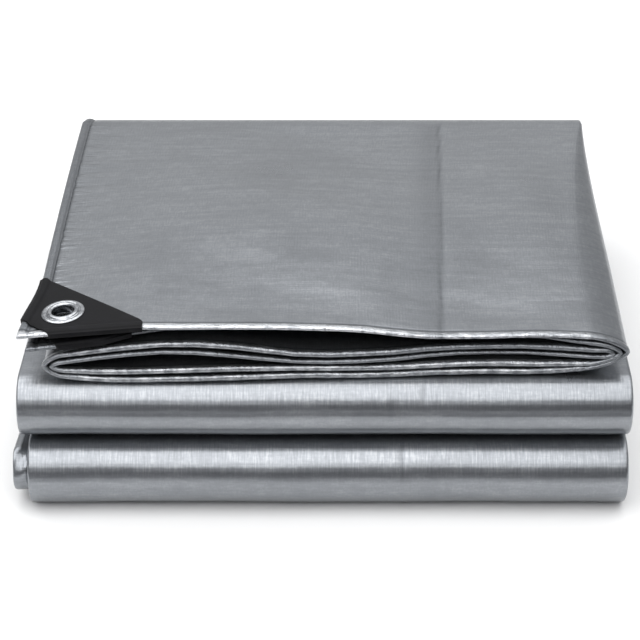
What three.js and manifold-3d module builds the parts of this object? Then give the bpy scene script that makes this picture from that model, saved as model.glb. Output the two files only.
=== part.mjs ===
// A silver woven tarpaulin, about 2 m by 1.5 m, folded for storage. The sheet is folded in half, the
// doubled cloth is folded in thirds to a strip of six layers, and the strip is folded back and forth in
// five runs. Two corners of the sheet lie on top of each other at the front left, each with a plastic
// patch wrapped round its hem and an eyelet pressed through it.
// Millimetres, +X right, +Y back, +Z up, origin at the middle of the footprint.

import * as THREE from 'three';
import { mergeVertices } from 'three/addons/utils/BufferGeometryUtils.js';
import Module from 'manifold-3d';

const SHEET = 1.2; // cloth thickness
const CLEARANCE = 0.3; // between pieces that lie against each other

// The stack of layers
const LAYERS = 6;
const ORDER = [0, 5, 2, 3, 4, 1]; // layers, top one 0, as the cloth passes through them
const TIGHT = 2.9; // layer pitch where the strip turns
const LOOSE = 3.4; // layer pitch halfway along a run
const OPEN_END = 4.3; // layer pitch at the rear end, where the hems lie on each other
const EDGE_STEP = 4; // how far the second free edge lies behind the first
const BODY_COLUMNS = [-80, -11, 52]; // X of the points between the side folds
const SIDE_STEPS = [6, 5, 4, 4, 5]; // facets round each side fold, in the order of the cloth
const PRESSED_FOLD = 5; // squareness of the side folds along the strip
const GAPING_FOLD = 1.7; // at the open front end, where they stand out to a point

// Hems: thickness of the rolled edge, and how it swells over its width
const HEM_AT = [0, 1.2, 2.6, 4];
const HEM_SWELL = [0.45, 1, 1, 0];
const SIDE_HEM = 2.4;
const END_HEM = 3.8;
const FOLDED_END_HEM = 2.4; // where the end hem goes round a side fold or into a corner patch

// The strip's five runs
const FRONT_STEPS = 7; // facets round a front fold
const REAR_STEPS = 5;
const CORNER_DEPTH = [36, 75]; // the corner cells lie flat to here, from either edge
const GAPE_AT = [140, 210]; // stations where the gaping front end closes up

// Turns of the strip from its open front end to its open rear end: centre of each turn, bend radius of the
// strip's middle line, the side folds' reach to the left and right, and the free edge of the top layer
const TURNS = [
  { y: -140.5, z: 95.9, bend: 0, left: -149.5, right: 166.2, edge: -161.1 },
  { y: 140.5, z: 78.3, bend: 9.15, left: -150, right: 170.8, edge: -154.2 },
  { y: -131, z: 59.6, bend: 10.7, left: -166, right: 170, edge: -157 },
  { y: 140.5, z: 42.5, bend: 9.15, left: -162, right: 166, edge: -166 },
  { y: -137.5, z: 20.05, bend: 12.2, left: -161.8, right: 169.5, edge: -172 },
  { y: 153.5, z: 12.65, bend: 0, left: -160, right: 166, edge: -166 },
];
const FRONT_END = TURNS[0];
const REAR_END = TURNS[5];
const MIDDLE_Z = { 2: 68.5, 3: 48.4, 4: 29.5, 5: 9.1 }; // middle line halfway along each lower run

// The gaping front end: height of each layer over the run's middle line
const GAPE = [
  { edge: 10.0, corner: 16.3, quarter: 16.7, middle: 16.5, far: 12.3, right: 11.0 },
  { edge: 2.0, corner: 8.1, quarter: 10.7, middle: 11.7, far: 6.4, right: 6.7 },
  { left: -0.8, quarter: 5.7, middle: -0.3, far: 0.9, right: 2.4 },
  { left: -5.3, quarter: 1.2, middle: -4.9, far: -3.5, right: -1.9 },
  { left: -10.8, quarter: -10.8, middle: -9.2, far: -7.9, right: -6.2 },
  { left: -14.6, quarter: -16.3, middle: -13.9, far: -12.2, right: -9.6 },
];
// Side folds at the gaping end: where each begins to turn, and its reach, in the order of the cloth
const GAPE_TURNS = [
  { x: 144.2, reach: 22 },
  { x: -139.9, reach: 9.6 },
  { x: 154.6, reach: 2.4 },
  { x: -139.9, reach: 3.5 },
  { x: 147.6, reach: 14 },
];

// The gaping end lies a little askew on the fold under it: set back and lower towards the right
const SKEW_FROM = -70; // X
const SKEW_TO = 85;
const SKEW_BACK = 6;
const SKEW_DOWN = 3.9;
const SKEW_DEPTH = 130; // it is felt to here from the front

// Corner patches and eyelets
const PATCH_WALL = 1.0;
const PATCH_FRONT_LEG = 65;
const PATCH_SIDE_LEG = 55;
const PATCH_TIP = 6; // width left at the end of each leg
const PATCH_CHAMFER = 17; // cut back from the cloth's corner
const PATCH_OVER = 5; // the cutting outline runs past the hem by this much
const EYELET_INSET = 20.5; // centre from both edges
const EYELET_HOLE = 6; // radius
const EYELET_BARREL = 6.4;
const EYELET_ROLL = 9.2;
const EYELET_FLANGE = 12;
const FLANGE_THICK = 0.7;
const ROLL_THICK = 1.4;
const EYELET_SIDES = 24;
const BORE = 6.8; // radius through cloth and patch
const BORE_LENGTH = 6;

const SILVER = new THREE.MeshStandardMaterial({ color: 0x9a9da1, roughness: 0.42, metalness: 0.35 });
const BLACK = new THREE.MeshStandardMaterial({ color: 0x36363a, roughness: 0.7, metalness: 0 });
const ALUMINIUM = new THREE.MeshStandardMaterial({ color: 0xd6d8db, roughness: 0.28, metalness: 1 });

const wasm = await Module();
wasm.setup();
const mix = THREE.MathUtils.lerp;
const last = (list) => list[list.length - 1];

// A side fold from one layer's end to the next one's, leaving out both ends. A squareness of 2 gives half an
// ellipse, more gives a fold pressed flat at its side, less gives a pointed one.
function sideFold(from, to, reach, steps, squareness) {
  const points = [];
  const shaped = (value) => Math.sign(value) * Math.abs(value) ** (2 / squareness);
  for (let k = 1; k < steps; k += 1) {
    const turn = (Math.PI * k) / steps;
    const h = mix(from.h, to.h, (1 - shaped(Math.cos(turn))) / 2);
    points.push({ x: from.x + reach * shaped(Math.sin(turn)), h, folded: true });
  }
  return points;
}

// The whole cloth across the strip, from the top layer's free edge to the second layer's. rows gives each
// layer's points from left to right, and reaches gives each side fold's reach, negative to the left.
function acrossStrip(rows, reaches, squareness) {
  const points = [];
  ORDER.forEach((layer, n) => {
    const row = n % 2 === 0 ? rows[layer] : [...rows[layer]].reverse();
    if (n > 0) {
      points.push(...sideFold(last(points), row[0], reaches[n - 1], SIDE_STEPS[n - 1], squareness));
    }
    points.push(...row);
  });
  return points;
}

const freeEdgeDistances = [...HEM_AT, ...CORNER_DEPTH];

// Layers evenly apart, with their side folds pressed flat one inside the other
function evenStrip({ left, right, edge, pitch }) {
  const turnLeft = left + 1.5 * pitch;
  const turnRight = right - 2.5 * pitch;
  const rows = [];
  for (let layer = 0; layer < LAYERS; layer += 1) {
    const h = (2.5 - layer) * pitch;
    const start = edge + layer * EDGE_STEP;
    const begins = layer < 2 ? freeEdgeDistances.map((d) => start + d) : [turnLeft, BODY_COLUMNS[0]];
    const xs = [...begins, ...BODY_COLUMNS.slice(1), turnRight];
    rows.push(xs.map((x) => ({ x, h })));
  }
  const reaches = [2.5 * pitch, -1.5 * pitch, 0.5 * pitch, -0.5 * pitch, 1.5 * pitch];
  return acrossStrip(rows, reaches, PRESSED_FOLD);
}

// Layers as they gape at the open front end, with the two corners' free edges drooping
function gapingStrip() {
  const turnOf = (layer, side) => {
    const at = ORDER.indexOf(layer);
    const before = GAPE_TURNS[at - 1];
    const after = GAPE_TURNS[at];
    return [before, after].find((turn) => turn && Math.sign(turn.x) === side).x;
  };
  const rows = GAPE.map((heights, layer) => {
    const { quarter, middle, far, right } = heights;
    const ends = [
      { x: BODY_COLUMNS[1], h: middle },
      { x: BODY_COLUMNS[2], h: far },
      { x: turnOf(layer, 1), h: right },
    ];
    if (layer > 1) {
      return [{ x: turnOf(layer, -1), h: heights.left }, { x: BODY_COLUMNS[0], h: quarter }, ...ends];
    }
    const start = FRONT_END.edge + layer * EDGE_STEP;
    const slope = (heights.corner - heights.edge) / CORNER_DEPTH[0];
    const corner = freeEdgeDistances.map((d) => ({ x: start + d, h: heights.edge + slope * d }));
    last(corner).h = quarter;
    return [...corner, ...ends];
  });
  return acrossStrip(rows, GAPE_TURNS.map((turn) => Math.sign(turn.x) * turn.reach), GAPING_FOLD);
}

// Stations along the strip: a point of its middle line, the direction in which the layers are stacked there,
// the reach of the side folds and how far the front end's gape is felt
function alongStrip() {
  const stations = [];
  const between = (a, b, t) => ({
    left: mix(a.left, b.left, t),
    right: mix(a.right, b.right, t),
    edge: mix(a.edge, b.edge, t),
  });
  const add = (y, z, up, sides, pitch, gape = 0, swell = 0) => {
    stations.push({ ...sides, y, z, up, pitch, gape, swell });
  };
  const level = new THREE.Vector3(0, 0, 1);
  HEM_AT.forEach((d, k) => add(FRONT_END.y + d, FRONT_END.z, level, FRONT_END, TIGHT, 1, HEM_SWELL[k]));
  CORNER_DEPTH.forEach((d) => add(FRONT_END.y + d, FRONT_END.z, level, FRONT_END, TIGHT, 1));
  const flatEnd = FRONT_END.y + last(CORNER_DEPTH);
  GAPE_AT.forEach((d) => {
    const y = FRONT_END.y + d;
    const t = THREE.MathUtils.smoothstep(y, flatEnd, TURNS[1].y);
    const z = mix(FRONT_END.z, TURNS[1].z + TURNS[1].bend, t);
    add(y, z, level, between(FRONT_END, TURNS[1], t), mix(LOOSE, TIGHT, t), 1 - t);
  });
  for (let n = 1; n <= 4; n += 1) {
    const turn = TURNS[n];
    const side = Math.sign(turn.y);
    const steps = side > 0 ? REAR_STEPS : FRONT_STEPS;
    for (let k = 0; k <= steps; k += 1) {
      const angle = (Math.PI * k) / steps;
      const out = new THREE.Vector3(0, side * Math.sin(angle), Math.cos(angle));
      const y = turn.y + out.y * turn.bend;
      const z = turn.z + out.z * turn.bend;
      add(y, z, out.multiplyScalar(side), turn, TIGHT);
    }
    const up = new THREE.Vector3(0, 0, -side);
    add(0, MIDDLE_Z[n + 1], up, between(turn, TURNS[n + 1], 0.5), LOOSE);
  }
  HEM_AT.map((d, k) => [d, HEM_SWELL[k]]).reverse().forEach(([d, swell]) => {
    add(REAR_END.y - d, REAR_END.z, level, REAR_END, OPEN_END, 0, swell);
  });
  return stations;
}

// The cloth's middle surface as a grid of points, each with the cloth's normal, its direction across the
// strip and its thickness
function clothGrid() {
  const gaping = gapingStrip();
  return alongStrip().map((station) => {
    const even = evenStrip(station);
    const section = even.map((p, i) => {
      const x = mix(p.x, gaping[i].x, station.gape);
      const h = mix(p.h, gaping[i].h, station.gape);
      return new THREE.Vector2(x, h);
    });
    const to3D = (flat) => new THREE.Vector3(flat.x, 0, 0).addScaledVector(station.up, flat.y);
    const fromFront = station.y - FRONT_END.y;
    const askew = station.gape > 0 ? 1 - THREE.MathUtils.smoothstep(fromFront, 0, SKEW_DEPTH) : 0;
    return section.map((p, i) => {
      const share = askew * THREE.MathUtils.clamp((p.x - SKEW_FROM) / (SKEW_TO - SKEW_FROM), 0, 1);
      const base = new THREE.Vector3(0, station.y + share * SKEW_BACK, station.z - share * SKEW_DOWN);
      const along = new THREE.Vector2();
      if (i > 0) {
        along.add(p.clone().sub(section[i - 1]).normalize());
      }
      if (i < section.length - 1) {
        along.add(section[i + 1].clone().sub(p).normalize());
      }
      along.normalize();
      const fromEdge = Math.min(i, section.length - 1 - i);
      const sideHem = fromEdge < HEM_AT.length ? HEM_SWELL[fromEdge] * (SIDE_HEM - SHEET) : 0;
      const slim = even[i].folded || fromEdge < freeEdgeDistances.length || atTurn(even, i);
      const endHem = station.swell * ((slim ? FOLDED_END_HEM : END_HEM) - SHEET);
      return {
        at: to3D(p).add(base),
        normal: to3D(new THREE.Vector2(-along.y, along.x)),
        across: to3D(along),
        thick: SHEET + Math.max(sideHem, endHem),
      };
    });
  });
}

// Whether a point stands where a layer goes over into a side fold
function atTurn(points, i) {
  return [points[i - 1], points[i + 1]].some((p) => p && p.folded);
}

// A closed sheet over the grid's columns and stations from first to last, thickened by grow on both faces and
// pushed out by grow at the cloth's own edges
function sheetGeometry(grid, columns, stations, grow) {
  const [i0, i1] = columns;
  const [j0, j1] = stations;
  const wide = i1 - i0 + 1;
  const long = j1 - j0 + 1;
  const positions = [];
  for (const face of [1, -1]) {
    for (let j = j0; j <= j1; j += 1) {
      for (let i = i0; i <= i1; i += 1) {
        const { at, normal, across, thick } = grid[j][i];
        const point = at.clone().addScaledVector(normal, face * (thick / 2 + grow));
        if (i === 0) {
          point.addScaledVector(across, -grow);
        }
        if (i === grid[j].length - 1) {
          point.addScaledVector(across, grow);
        }
        if (j === 0) {
          point.y -= grow;
        }
        positions.push(point.x, point.y, point.z);
      }
    }
  }
  const index = [];
  const quad = (a, b, c, d) => index.push(a, b, c, a, c, d);
  const front = (i, j) => j * wide + i;
  const back = (i, j) => wide * long + j * wide + i;
  for (let j = 0; j < long - 1; j += 1) {
    for (let i = 0; i < wide - 1; i += 1) {
      quad(front(i, j), front(i + 1, j), front(i + 1, j + 1), front(i, j + 1));
      index.push(back(i, j), back(i + 1, j + 1), back(i + 1, j));
      index.push(back(i, j), back(i, j + 1), back(i + 1, j + 1));
    }
  }
  const n = wide - 1;
  const m = long - 1;
  for (let i = 0; i < n; i += 1) {
    quad(front(i, 0), back(i, 0), back(i + 1, 0), front(i + 1, 0));
    quad(front(i + 1, m), back(i + 1, m), back(i, m), front(i, m));
  }
  for (let j = 0; j < m; j += 1) {
    quad(front(0, j + 1), back(0, j + 1), back(0, j), front(0, j));
    quad(front(n, j), back(n, j), back(n, j + 1), front(n, j + 1));
  }
  const geometry = new THREE.BufferGeometry();
  geometry.setAttribute('position', new THREE.Float32BufferAttribute(positions, 3));
  geometry.setIndex(index);
  return geometry;
}

// Conversion to and from solids that can be cut
function solidOf(geometry) {
  const bare = geometry.clone();
  bare.deleteAttribute('normal');
  bare.deleteAttribute('uv');
  const merged = mergeVertices(bare, 1e-4);
  const vertProperties = new Float32Array(merged.getAttribute('position').array);
  const triVerts = new Uint32Array(merged.getIndex().array);
  return new wasm.Manifold(new wasm.Mesh({ numProp: 3, vertProperties, triVerts }));
}

function geometryOf(solid) {
  const { vertProperties, triVerts } = solid.getMesh();
  const geometry = new THREE.BufferGeometry();
  geometry.setAttribute('position', new THREE.BufferAttribute(vertProperties, 3));
  geometry.setIndex(new THREE.BufferAttribute(triVerts, 1));
  geometry.computeVertexNormals();
  return geometry;
}

// Upright prism over a corner patch's outline: two legs along the hems, trimmed tips, and the cloth's own
// corner left bare
function patchPrism(cornerX, cornerY) {
  const reach = PATCH_CHAMFER + PATCH_OVER;
  const outline = [
    [reach, -PATCH_OVER],
    [PATCH_FRONT_LEG, -PATCH_OVER],
    [PATCH_FRONT_LEG, PATCH_TIP],
    [PATCH_TIP, PATCH_SIDE_LEG],
    [-PATCH_OVER, PATCH_SIDE_LEG],
    [-PATCH_OVER, reach],
  ];
  const shape = new THREE.Shape(outline.map(([x, y]) => new THREE.Vector2(cornerX + x, cornerY + y)));
  const prism = new THREE.ExtrudeGeometry(shape, { depth: 2 * FRONT_END.z, bevelEnabled: false });
  return solidOf(prism);
}

// Eyelet about the Z axis: a barrel, a rolled rim and a flange on either face of the patched cloth
function eyeletGeometry() {
  const seat = SHEET / 2 + CLEARANCE + PATCH_WALL + CLEARANCE;
  const flange = seat + FLANGE_THICK;
  const roll = seat + ROLL_THICK;
  const rollMiddle = (EYELET_HOLE + EYELET_ROLL) / 2;
  const upper = [
    [EYELET_BARREL, seat],
    [EYELET_FLANGE, seat],
    [EYELET_FLANGE, flange],
    [EYELET_ROLL, flange],
    [(rollMiddle + EYELET_ROLL) / 2, roll - 0.2],
    [rollMiddle, roll],
    [EYELET_HOLE, flange],
  ];
  const lower = upper.map(([r, z]) => [r, -z]).reverse();
  const profile = [...lower, ...upper, lower[0]].map(([r, z]) => new THREE.Vector2(r, z));
  const lathe = new THREE.LatheGeometry(profile, EYELET_SIDES);
  return lathe.rotateX(Math.PI / 2);
}

const grid = clothGrid();
const columnCount = grid[0].length;
const cornerColumns = freeEdgeDistances.length - 1;
const cornerStations = HEM_AT.length + CORNER_DEPTH.length - 1;

// The two corners at the open front end: the columns of their cells, and the cells' inner hem corner
const CORNERS = [
  { name: 'upper', columns: [0, cornerColumns], edge: 0, hem: HEM_AT.length - 1 },
  {
    name: 'lower',
    columns: [columnCount - 1 - cornerColumns, columnCount - 1],
    edge: columnCount - 1,
    hem: columnCount - HEM_AT.length,
  },
];

const tarpaulin = new THREE.Group();
tarpaulin.name = 'folded_tarp';

let cloth = solidOf(sheetGeometry(grid, [0, columnCount - 1], [0, grid.length - 1], 0));
for (const corner of CORNERS) {
  const edge = grid[0][corner.edge];
  const cell = grid[HEM_AT.length - 1][corner.hem];
  const inward = new THREE.Vector3(Math.abs(cell.across.x), 0, cell.across.z * Math.sign(cell.across.x));
  const centre = edge.at.clone().addScaledVector(inward, EYELET_INSET);
  centre.y += EYELET_INSET;
  const axis = cell.normal.clone().multiplyScalar(Math.sign(cell.normal.z));
  const turn = new THREE.Quaternion().setFromUnitVectors(new THREE.Vector3(0, 0, 1), axis);

  const bore = new THREE.CylinderGeometry(BORE, BORE, BORE_LENGTH, EYELET_SIDES).rotateX(Math.PI / 2);
  bore.applyQuaternion(turn);
  bore.translate(centre.x, centre.y, centre.z);
  const boreSolid = solidOf(bore);
  cloth = cloth.subtract(boreSolid);

  const stations = [0, cornerStations];
  const outside = solidOf(sheetGeometry(grid, corner.columns, stations, CLEARANCE + PATCH_WALL));
  const inside = solidOf(sheetGeometry(grid, corner.columns, stations, CLEARANCE));
  const prism = patchPrism(edge.at.x, FRONT_END.y);
  const patch = outside.subtract(inside).intersect(prism).subtract(boreSolid);
  const patchMesh = new THREE.Mesh(geometryOf(patch), BLACK);
  patchMesh.name = `corner_patch_${corner.name}`;
  tarpaulin.add(patchMesh);

  const eyelet = new THREE.Mesh(eyeletGeometry(), ALUMINIUM);
  eyelet.name = `eyelet_${corner.name}`;
  eyelet.position.copy(centre);
  eyelet.quaternion.copy(turn);
  tarpaulin.add(eyelet);
}

const clothMesh = new THREE.Mesh(geometryOf(cloth), SILVER);
clothMesh.name = 'tarp';
tarpaulin.add(clothMesh);

export default tarpaulin;
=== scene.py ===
import math

import bpy
import numpy as np
from mathutils import Matrix, Vector


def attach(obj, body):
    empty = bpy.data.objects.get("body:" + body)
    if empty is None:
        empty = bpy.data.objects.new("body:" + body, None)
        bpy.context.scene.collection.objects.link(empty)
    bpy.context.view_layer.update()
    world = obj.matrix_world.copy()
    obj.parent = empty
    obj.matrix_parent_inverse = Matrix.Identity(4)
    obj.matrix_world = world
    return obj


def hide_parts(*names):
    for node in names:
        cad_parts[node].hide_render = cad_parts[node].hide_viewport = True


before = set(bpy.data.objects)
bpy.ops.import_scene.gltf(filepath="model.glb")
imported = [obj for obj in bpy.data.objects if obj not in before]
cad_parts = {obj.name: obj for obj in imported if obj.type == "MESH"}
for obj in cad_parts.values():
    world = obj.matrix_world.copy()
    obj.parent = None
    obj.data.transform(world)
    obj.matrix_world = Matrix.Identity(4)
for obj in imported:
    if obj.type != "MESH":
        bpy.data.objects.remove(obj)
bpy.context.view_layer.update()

# The cloth: one cut sheet of woven polyethylene tape, laminated with a silver film on both faces and
# hemmed over a cord on all four sides. It is folded in half, the doubled cloth in thirds to a strip of
# six layers, and the strip back and forth in five runs. Lengths are in millimetres.
MM = 0.001
SHEET = 1.0
LAYER_ORDER = (0, 5, 2, 3, 4, 1)  # layers, top one 0, as the cloth passes through them
FREE_LAYERS = (0, 1)  # the layers that end in the sheet's own edges, on the left

# Layer pitch where the strip turns, halfway along a run, and at the open rear end
TIGHT, LOOSE, OPEN_END = 2.9, 3.4, 4.3

# Turns of the strip from its open front end to its open rear end: centre of each turn, bend radius of the
# strip's middle line, reach of the side folds to the left and right, the free edge of the top layer and how
# far the second one lies inside it
BEND_Y = 140.5
FRONT_Y, REAR_Y = -140.5, 153.5
TURNS = [
    dict(y=FRONT_Y, z=95.9, bend=0.0, left=-149.5, right=166.2, edge=-161.1, step=4.0),
    dict(y=BEND_Y, z=78.3, bend=9.15, left=-150.0, right=170.8, edge=-156.6, step=4.0),
    dict(y=-131.0, z=59.6, bend=10.7, left=-166.0, right=170.0, edge=-159.0, step=4.0),
    dict(y=BEND_Y, z=42.5, bend=9.15, left=-162.0, right=166.0, edge=-166.0, step=6.0),
    dict(y=-137.5, z=20.0, bend=12.2, left=-161.8, right=169.5, edge=-171.2, step=12.2),
    dict(y=REAR_Y, z=12.65, bend=0.0, left=-160.0, right=166.0, edge=-166.0, step=6.0),
]
MIDDLE_Z = {2: 68.5, 3: 48.4, 4: 29.5}  # middle line halfway along the runs over the lowest
MIDDLE_NOSE, LOWER_NOSE = 2, 4  # the turns that show at the front

# The gaping front end: height of each layer over the run's middle line at places across the strip, between
# the X and height of its first and its last point
GAPE_X = (-119.4, -80.0, -49.0, -11.0, 23.0, 43.0, 53.0, 83.0, 124.0)
GAPE = [
    dict(
        first=(-161.1, 11.0),
        heights=(16.5, 16.9, 17.0, 16.5, 14.9, 12.5, 11.5, 11.2, 12.0),
        last=(144.2, 11.0),
    ),
    dict(
        first=(-157.1, 2.6),
        heights=(9.6, 11.7, 12.4, 12.0, 10.5, 7.9, 6.8, 7.1, 7.4),
        last=(147.6, 6.7),
    ),
    dict(
        first=(-139.9, -0.8),
        heights=(2.2, 6.2, 4.6, -0.3, -0.4, 0.0, 0.9, 2.5, 2.7),
        last=(154.6, 2.4),
    ),
    dict(
        first=(-139.9, -5.3),
        heights=(-2.2, 1.4, -1.0, -4.9, -4.8, -4.2, -3.4, -1.9, -1.9),
        last=(154.6, -1.9),
    ),
    dict(
        first=(-139.9, -10.8),
        heights=(-11.7, -10.8, -9.8, -9.2, -9.2, -8.5, -7.9, -6.2, -6.6),
        last=(147.6, -6.2),
    ),
    dict(
        first=(-139.9, -14.6),
        heights=(-16.4, -16.3, -15.4, -13.9, -13.7, -13.0, -12.4, -11.3, -11.0),
        last=(144.2, -9.3),
    ),
]
DROOP = 64.0  # the two stiff corners hang straight from here to their edge
GAPE_REACH = (22.6, -10.6, 4.5, -6.8, 15.5)  # of the side folds there, in the order of the cloth
GAPE_RISE = (0.5, 0.0, 0.0, 0.0, 0.5)  # how far each fold's tip stands over its middle
FLAT_DEPTH = 40.0  # the gape stays open to here
CORNER_LONG, CORNER_SPREAD = 58.0, 7.4  # the top corner is splayed out over this length by this much

# Hems: the cloth is turned in over a cord, and a groove runs along the weld line
HEM_WIDE = 5.4
HEM_LIP, HEM_FLAT = 1.6, 3.6  # the round lip ends and the step down begins, from the edge
GROOVE_WIDE, GROOVE_DEEP = 1.5, 0.5
SIDE_HEM, SLIM_HEM = 2.9, 2.7  # thickness along the sides, and near the corners
END_HEMS = (2.5, 2.3, 3.1, 2.5, 3.2, 3.4, 3.0)  # at the ends of the layers, and of the folds between them
# Distances from an edge at which the hem is divided
HEM_STEPS = np.array([0.0, 0.08, 0.3, 0.7, 1.2, 2.0, 3.4, 4.2, 4.8, 5.4, 6.1, 6.9, 8.0])


def ease(t):
    t = np.clip(t, 0.0, 1.0)
    return t * t * (3 - 2 * t)


def mix(a, b, t):
    return a + (b - a) * t


def within(value, low, high, rise, fall):
    """1 between low and high, fading to 0 at both over the lengths given."""
    return ease((value - low) / rise) * ease((high - value) / fall)


def bump(distance, width):
    return np.exp(-((distance / width) ** 2))


def smooth_through(at, values, where):
    """Values of a smooth curve through the given points."""
    at, values = np.asarray(at), np.asarray(values)
    slopes = np.gradient(values, at)
    k = np.clip(np.searchsorted(at, where) - 1, 0, len(at) - 2)
    span = at[k + 1] - at[k]
    t = (where - at[k]) / span
    start = (1 + 2 * t) * (1 - t) ** 2 * values[k] + t * (1 - t) ** 2 * span * slopes[k]
    return start + t * t * (3 - 2 * t) * values[k + 1] + t * t * (t - 1) * span * slopes[k + 1]


# Columns across each layer as shares of its width, closer together where creases show
def shares(*stretches):
    """Shares of the width from X to X in even steps, each stretch given as (from, to, step)."""
    parts = [np.arange(start, stop, step) for start, stop, step in stretches]
    xs = np.concatenate(parts + [[stretches[-1][1]]])
    return (xs - xs[0]) / (xs[-1] - xs[0])


LAYER_SHARES = [
    shares((-155, 58, 4.2), (58, 86, 2), (86, 144, 4.2)),
    shares((-150, 148, 16)),
    shares((-140, 155, 18)),
    shares((-140, 155, 18)),
    shares((-140, 22, 18), (22, 62, 6), (62, 148, 18)),
    shares((-150, -97, 7), (-97, -88, 1.3), (-88, 34, 7), (34, 61, 1.5), (61, 155, 7)),
]
FOLD_STEPS = (14, 12, 6, 6, 10)  # facets round each side fold, in the order of the cloth


def row_x(layer, start, end):
    if layer in FREE_LAYERS:
        hem = start + HEM_STEPS
        return np.concatenate([hem[:-1], mix(hem[-1], end, LAYER_SHARES[layer])])
    return mix(start, end, LAYER_SHARES[layer])


def across_strip(rows, reaches, rises, squareness):
    """X and height of the whole cloth across the strip, from the top layer's free edge to the second
    layer's. A squareness of 2 gives elliptic side folds, more gives flatter sides, less pointed ones."""
    xs, hs = [], []
    for n, layer in enumerate(LAYER_ORDER):
        x, h = (part[:: 1 if n % 2 == 0 else -1] for part in rows[layer])
        if n > 0:
            turn = np.pi * np.arange(1, FOLD_STEPS[n - 1]) / FOLD_STEPS[n - 1]
            out = np.sin(turn) ** (2 / squareness)
            down = np.sign(np.cos(turn)) * np.abs(np.cos(turn)) ** (2 / squareness)
            xs.append(xs[-1][-1] + reaches[n - 1] * out)
            hs.append(mix(hs[-1][-1], h[0], (1 - down) / 2) + rises[n - 1] * np.sin(turn))
            xs[-1] += (x[0] - xs[-2][-1]) * (1 - np.cos(turn)) / 2
        xs.append(x)
        hs.append(h)
    return np.concatenate(xs), np.concatenate(hs)


def even_strip(left, right, edge, step, pitch):
    """Layers evenly apart, with their side folds one inside the other."""
    turn_left, turn_right = left + 1.5 * pitch, right - 2.5 * pitch
    rows = []
    for layer in range(len(LAYER_ORDER)):
        start = edge + layer * step if layer in FREE_LAYERS else turn_left
        x = row_x(layer, start, turn_right)
        rows.append((x, np.full(len(x), (2.5 - layer) * pitch)))
    reaches = [r * pitch for r in (2.5, -1.5, 0.5, -0.5, 1.5)]
    return across_strip(rows, reaches, (0,) * 5, squareness=12.0)


def gaping_strip():
    """Layers as they gape at the open front end, with the corners' free edges drooping."""
    rows = []
    for layer, place in enumerate(GAPE):
        (start, first), (end, last) = place["first"], place["last"]
        x = row_x(layer, start, end)
        h = smooth_through((start, *GAPE_X, end), (first, *place["heights"], last), x)
        if layer in FREE_LAYERS:
            slope = (np.interp(start + DROOP, x, h) - first) / DROOP
            h = np.where(x < start + DROOP, first + slope * (x - start), h)
        rows.append((x, h))
    return across_strip(rows, GAPE_REACH, GAPE_RISE, squareness=1.5)


# Stations along the strip: a point of its middle line, the direction in which the layers are stacked
# there, the sides' reach, the pitch, how far the gape is felt, and the run or turn it belongs to
FAR = 99.0  # stands for a place away from every edge
stations = []


def add_station(y, z, lean, sides, pitch, gape=0.0, turn=0, from_end=FAR):
    """lean is the angle of the stacking direction from straight up, towards the back."""
    stations.append(dict(sides, y=y, z=z, lean=lean, pitch=pitch, gape=gape, turn=turn, from_end=from_end))


def between(a, b, t):
    return {side: mix(a[side], b[side], t) for side in ("left", "right", "edge", "step")}


front, first_bend = TURNS[0], TURNS[1]
sides_of = lambda turn: between(turn, turn, 0)
CROSS_CREASE = 38.0  # distance of a crease from the front hem
RUN_START, RUN_STEP = 11.5, 4.7  # of the plain stations behind the front hem
GAPE_CLOSING = 1.7  # the gape closes slowly first, then faster
plain = np.arange(RUN_START, BEND_Y - FRONT_Y - 2, RUN_STEP)
at_crease = CROSS_CREASE + np.arange(-2, 2.1)
for d in np.unique(np.concatenate([HEM_STEPS, plain, at_crease]).round(2)):
    y = FRONT_Y + d
    t = (max(d - FLAT_DEPTH, 0) / (BEND_Y - FRONT_Y - FLAT_DEPTH)) ** GAPE_CLOSING
    z = mix(front["z"], first_bend["z"] + first_bend["bend"], t)
    sides = between(front, first_bend, t)
    sides["edge"] = first_bend["edge"]
    add_station(y, z, 0.0, sides, mix(LOOSE, TIGHT, t), 1 - t, from_end=d)
first_run_count = len(stations)
NOSE_STEPS, REAR_STEPS, RUN_STEPS = 20, 8, 6
CORNER_TUCK = 4.5  # the free edge is drawn in where it goes over the upper rear bend
for n in range(1, 5):
    bend, following = TURNS[n], TURNS[n + 1]
    side = np.sign(bend["y"])
    for angle in np.linspace(0, np.pi, (REAR_STEPS if side > 0 else NOSE_STEPS) + 1):
        y = bend["y"] + side * math.sin(angle) * bend["bend"]
        z = bend["z"] + math.cos(angle) * bend["bend"]
        lean = angle if side > 0 else math.pi - angle
        sides = sides_of(bend)
        sides["edge"] += CORNER_TUCK * math.sin(angle) * (n == 1)
        add_station(y, z, lean, sides, TIGHT, turn=n)
    lean = math.pi if side > 0 else 0.0
    is_lowest = n == 4
    z_from, z_to = bend["z"] - bend["bend"], following["z"] + following["bend"]
    y_to = following["y"] - (HEM_STEPS[-1] if is_lowest else 0)
    for t in np.linspace(0, 1, RUN_STEPS + 1)[1:-1]:
        if is_lowest:
            pitch = mix(mix(TIGHT, LOOSE, ease(2 * t)), OPEN_END, ease(2 * t - 1))
            z = 2.5 * pitch + SHEET / 2 + mix(0.05, z_to - 2.5 * OPEN_END - SHEET / 2, ease(2 * t - 1))
        else:
            hump = math.sin(math.pi * t) ** 2
            pitch = mix(TIGHT, LOOSE, hump)
            z = mix(z_from, z_to, ease(t)) + (MIDDLE_Z[n + 1] - (z_from + z_to) / 2) * hump
        add_station(mix(bend["y"], y_to, t), z, lean, between(bend, following, ease(t)), pitch)
for d in HEM_STEPS[::-1]:
    add_station(REAR_Y - d, TURNS[5]["z"], 0.0, sides_of(TURNS[5]), OPEN_END, from_end=d)

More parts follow.
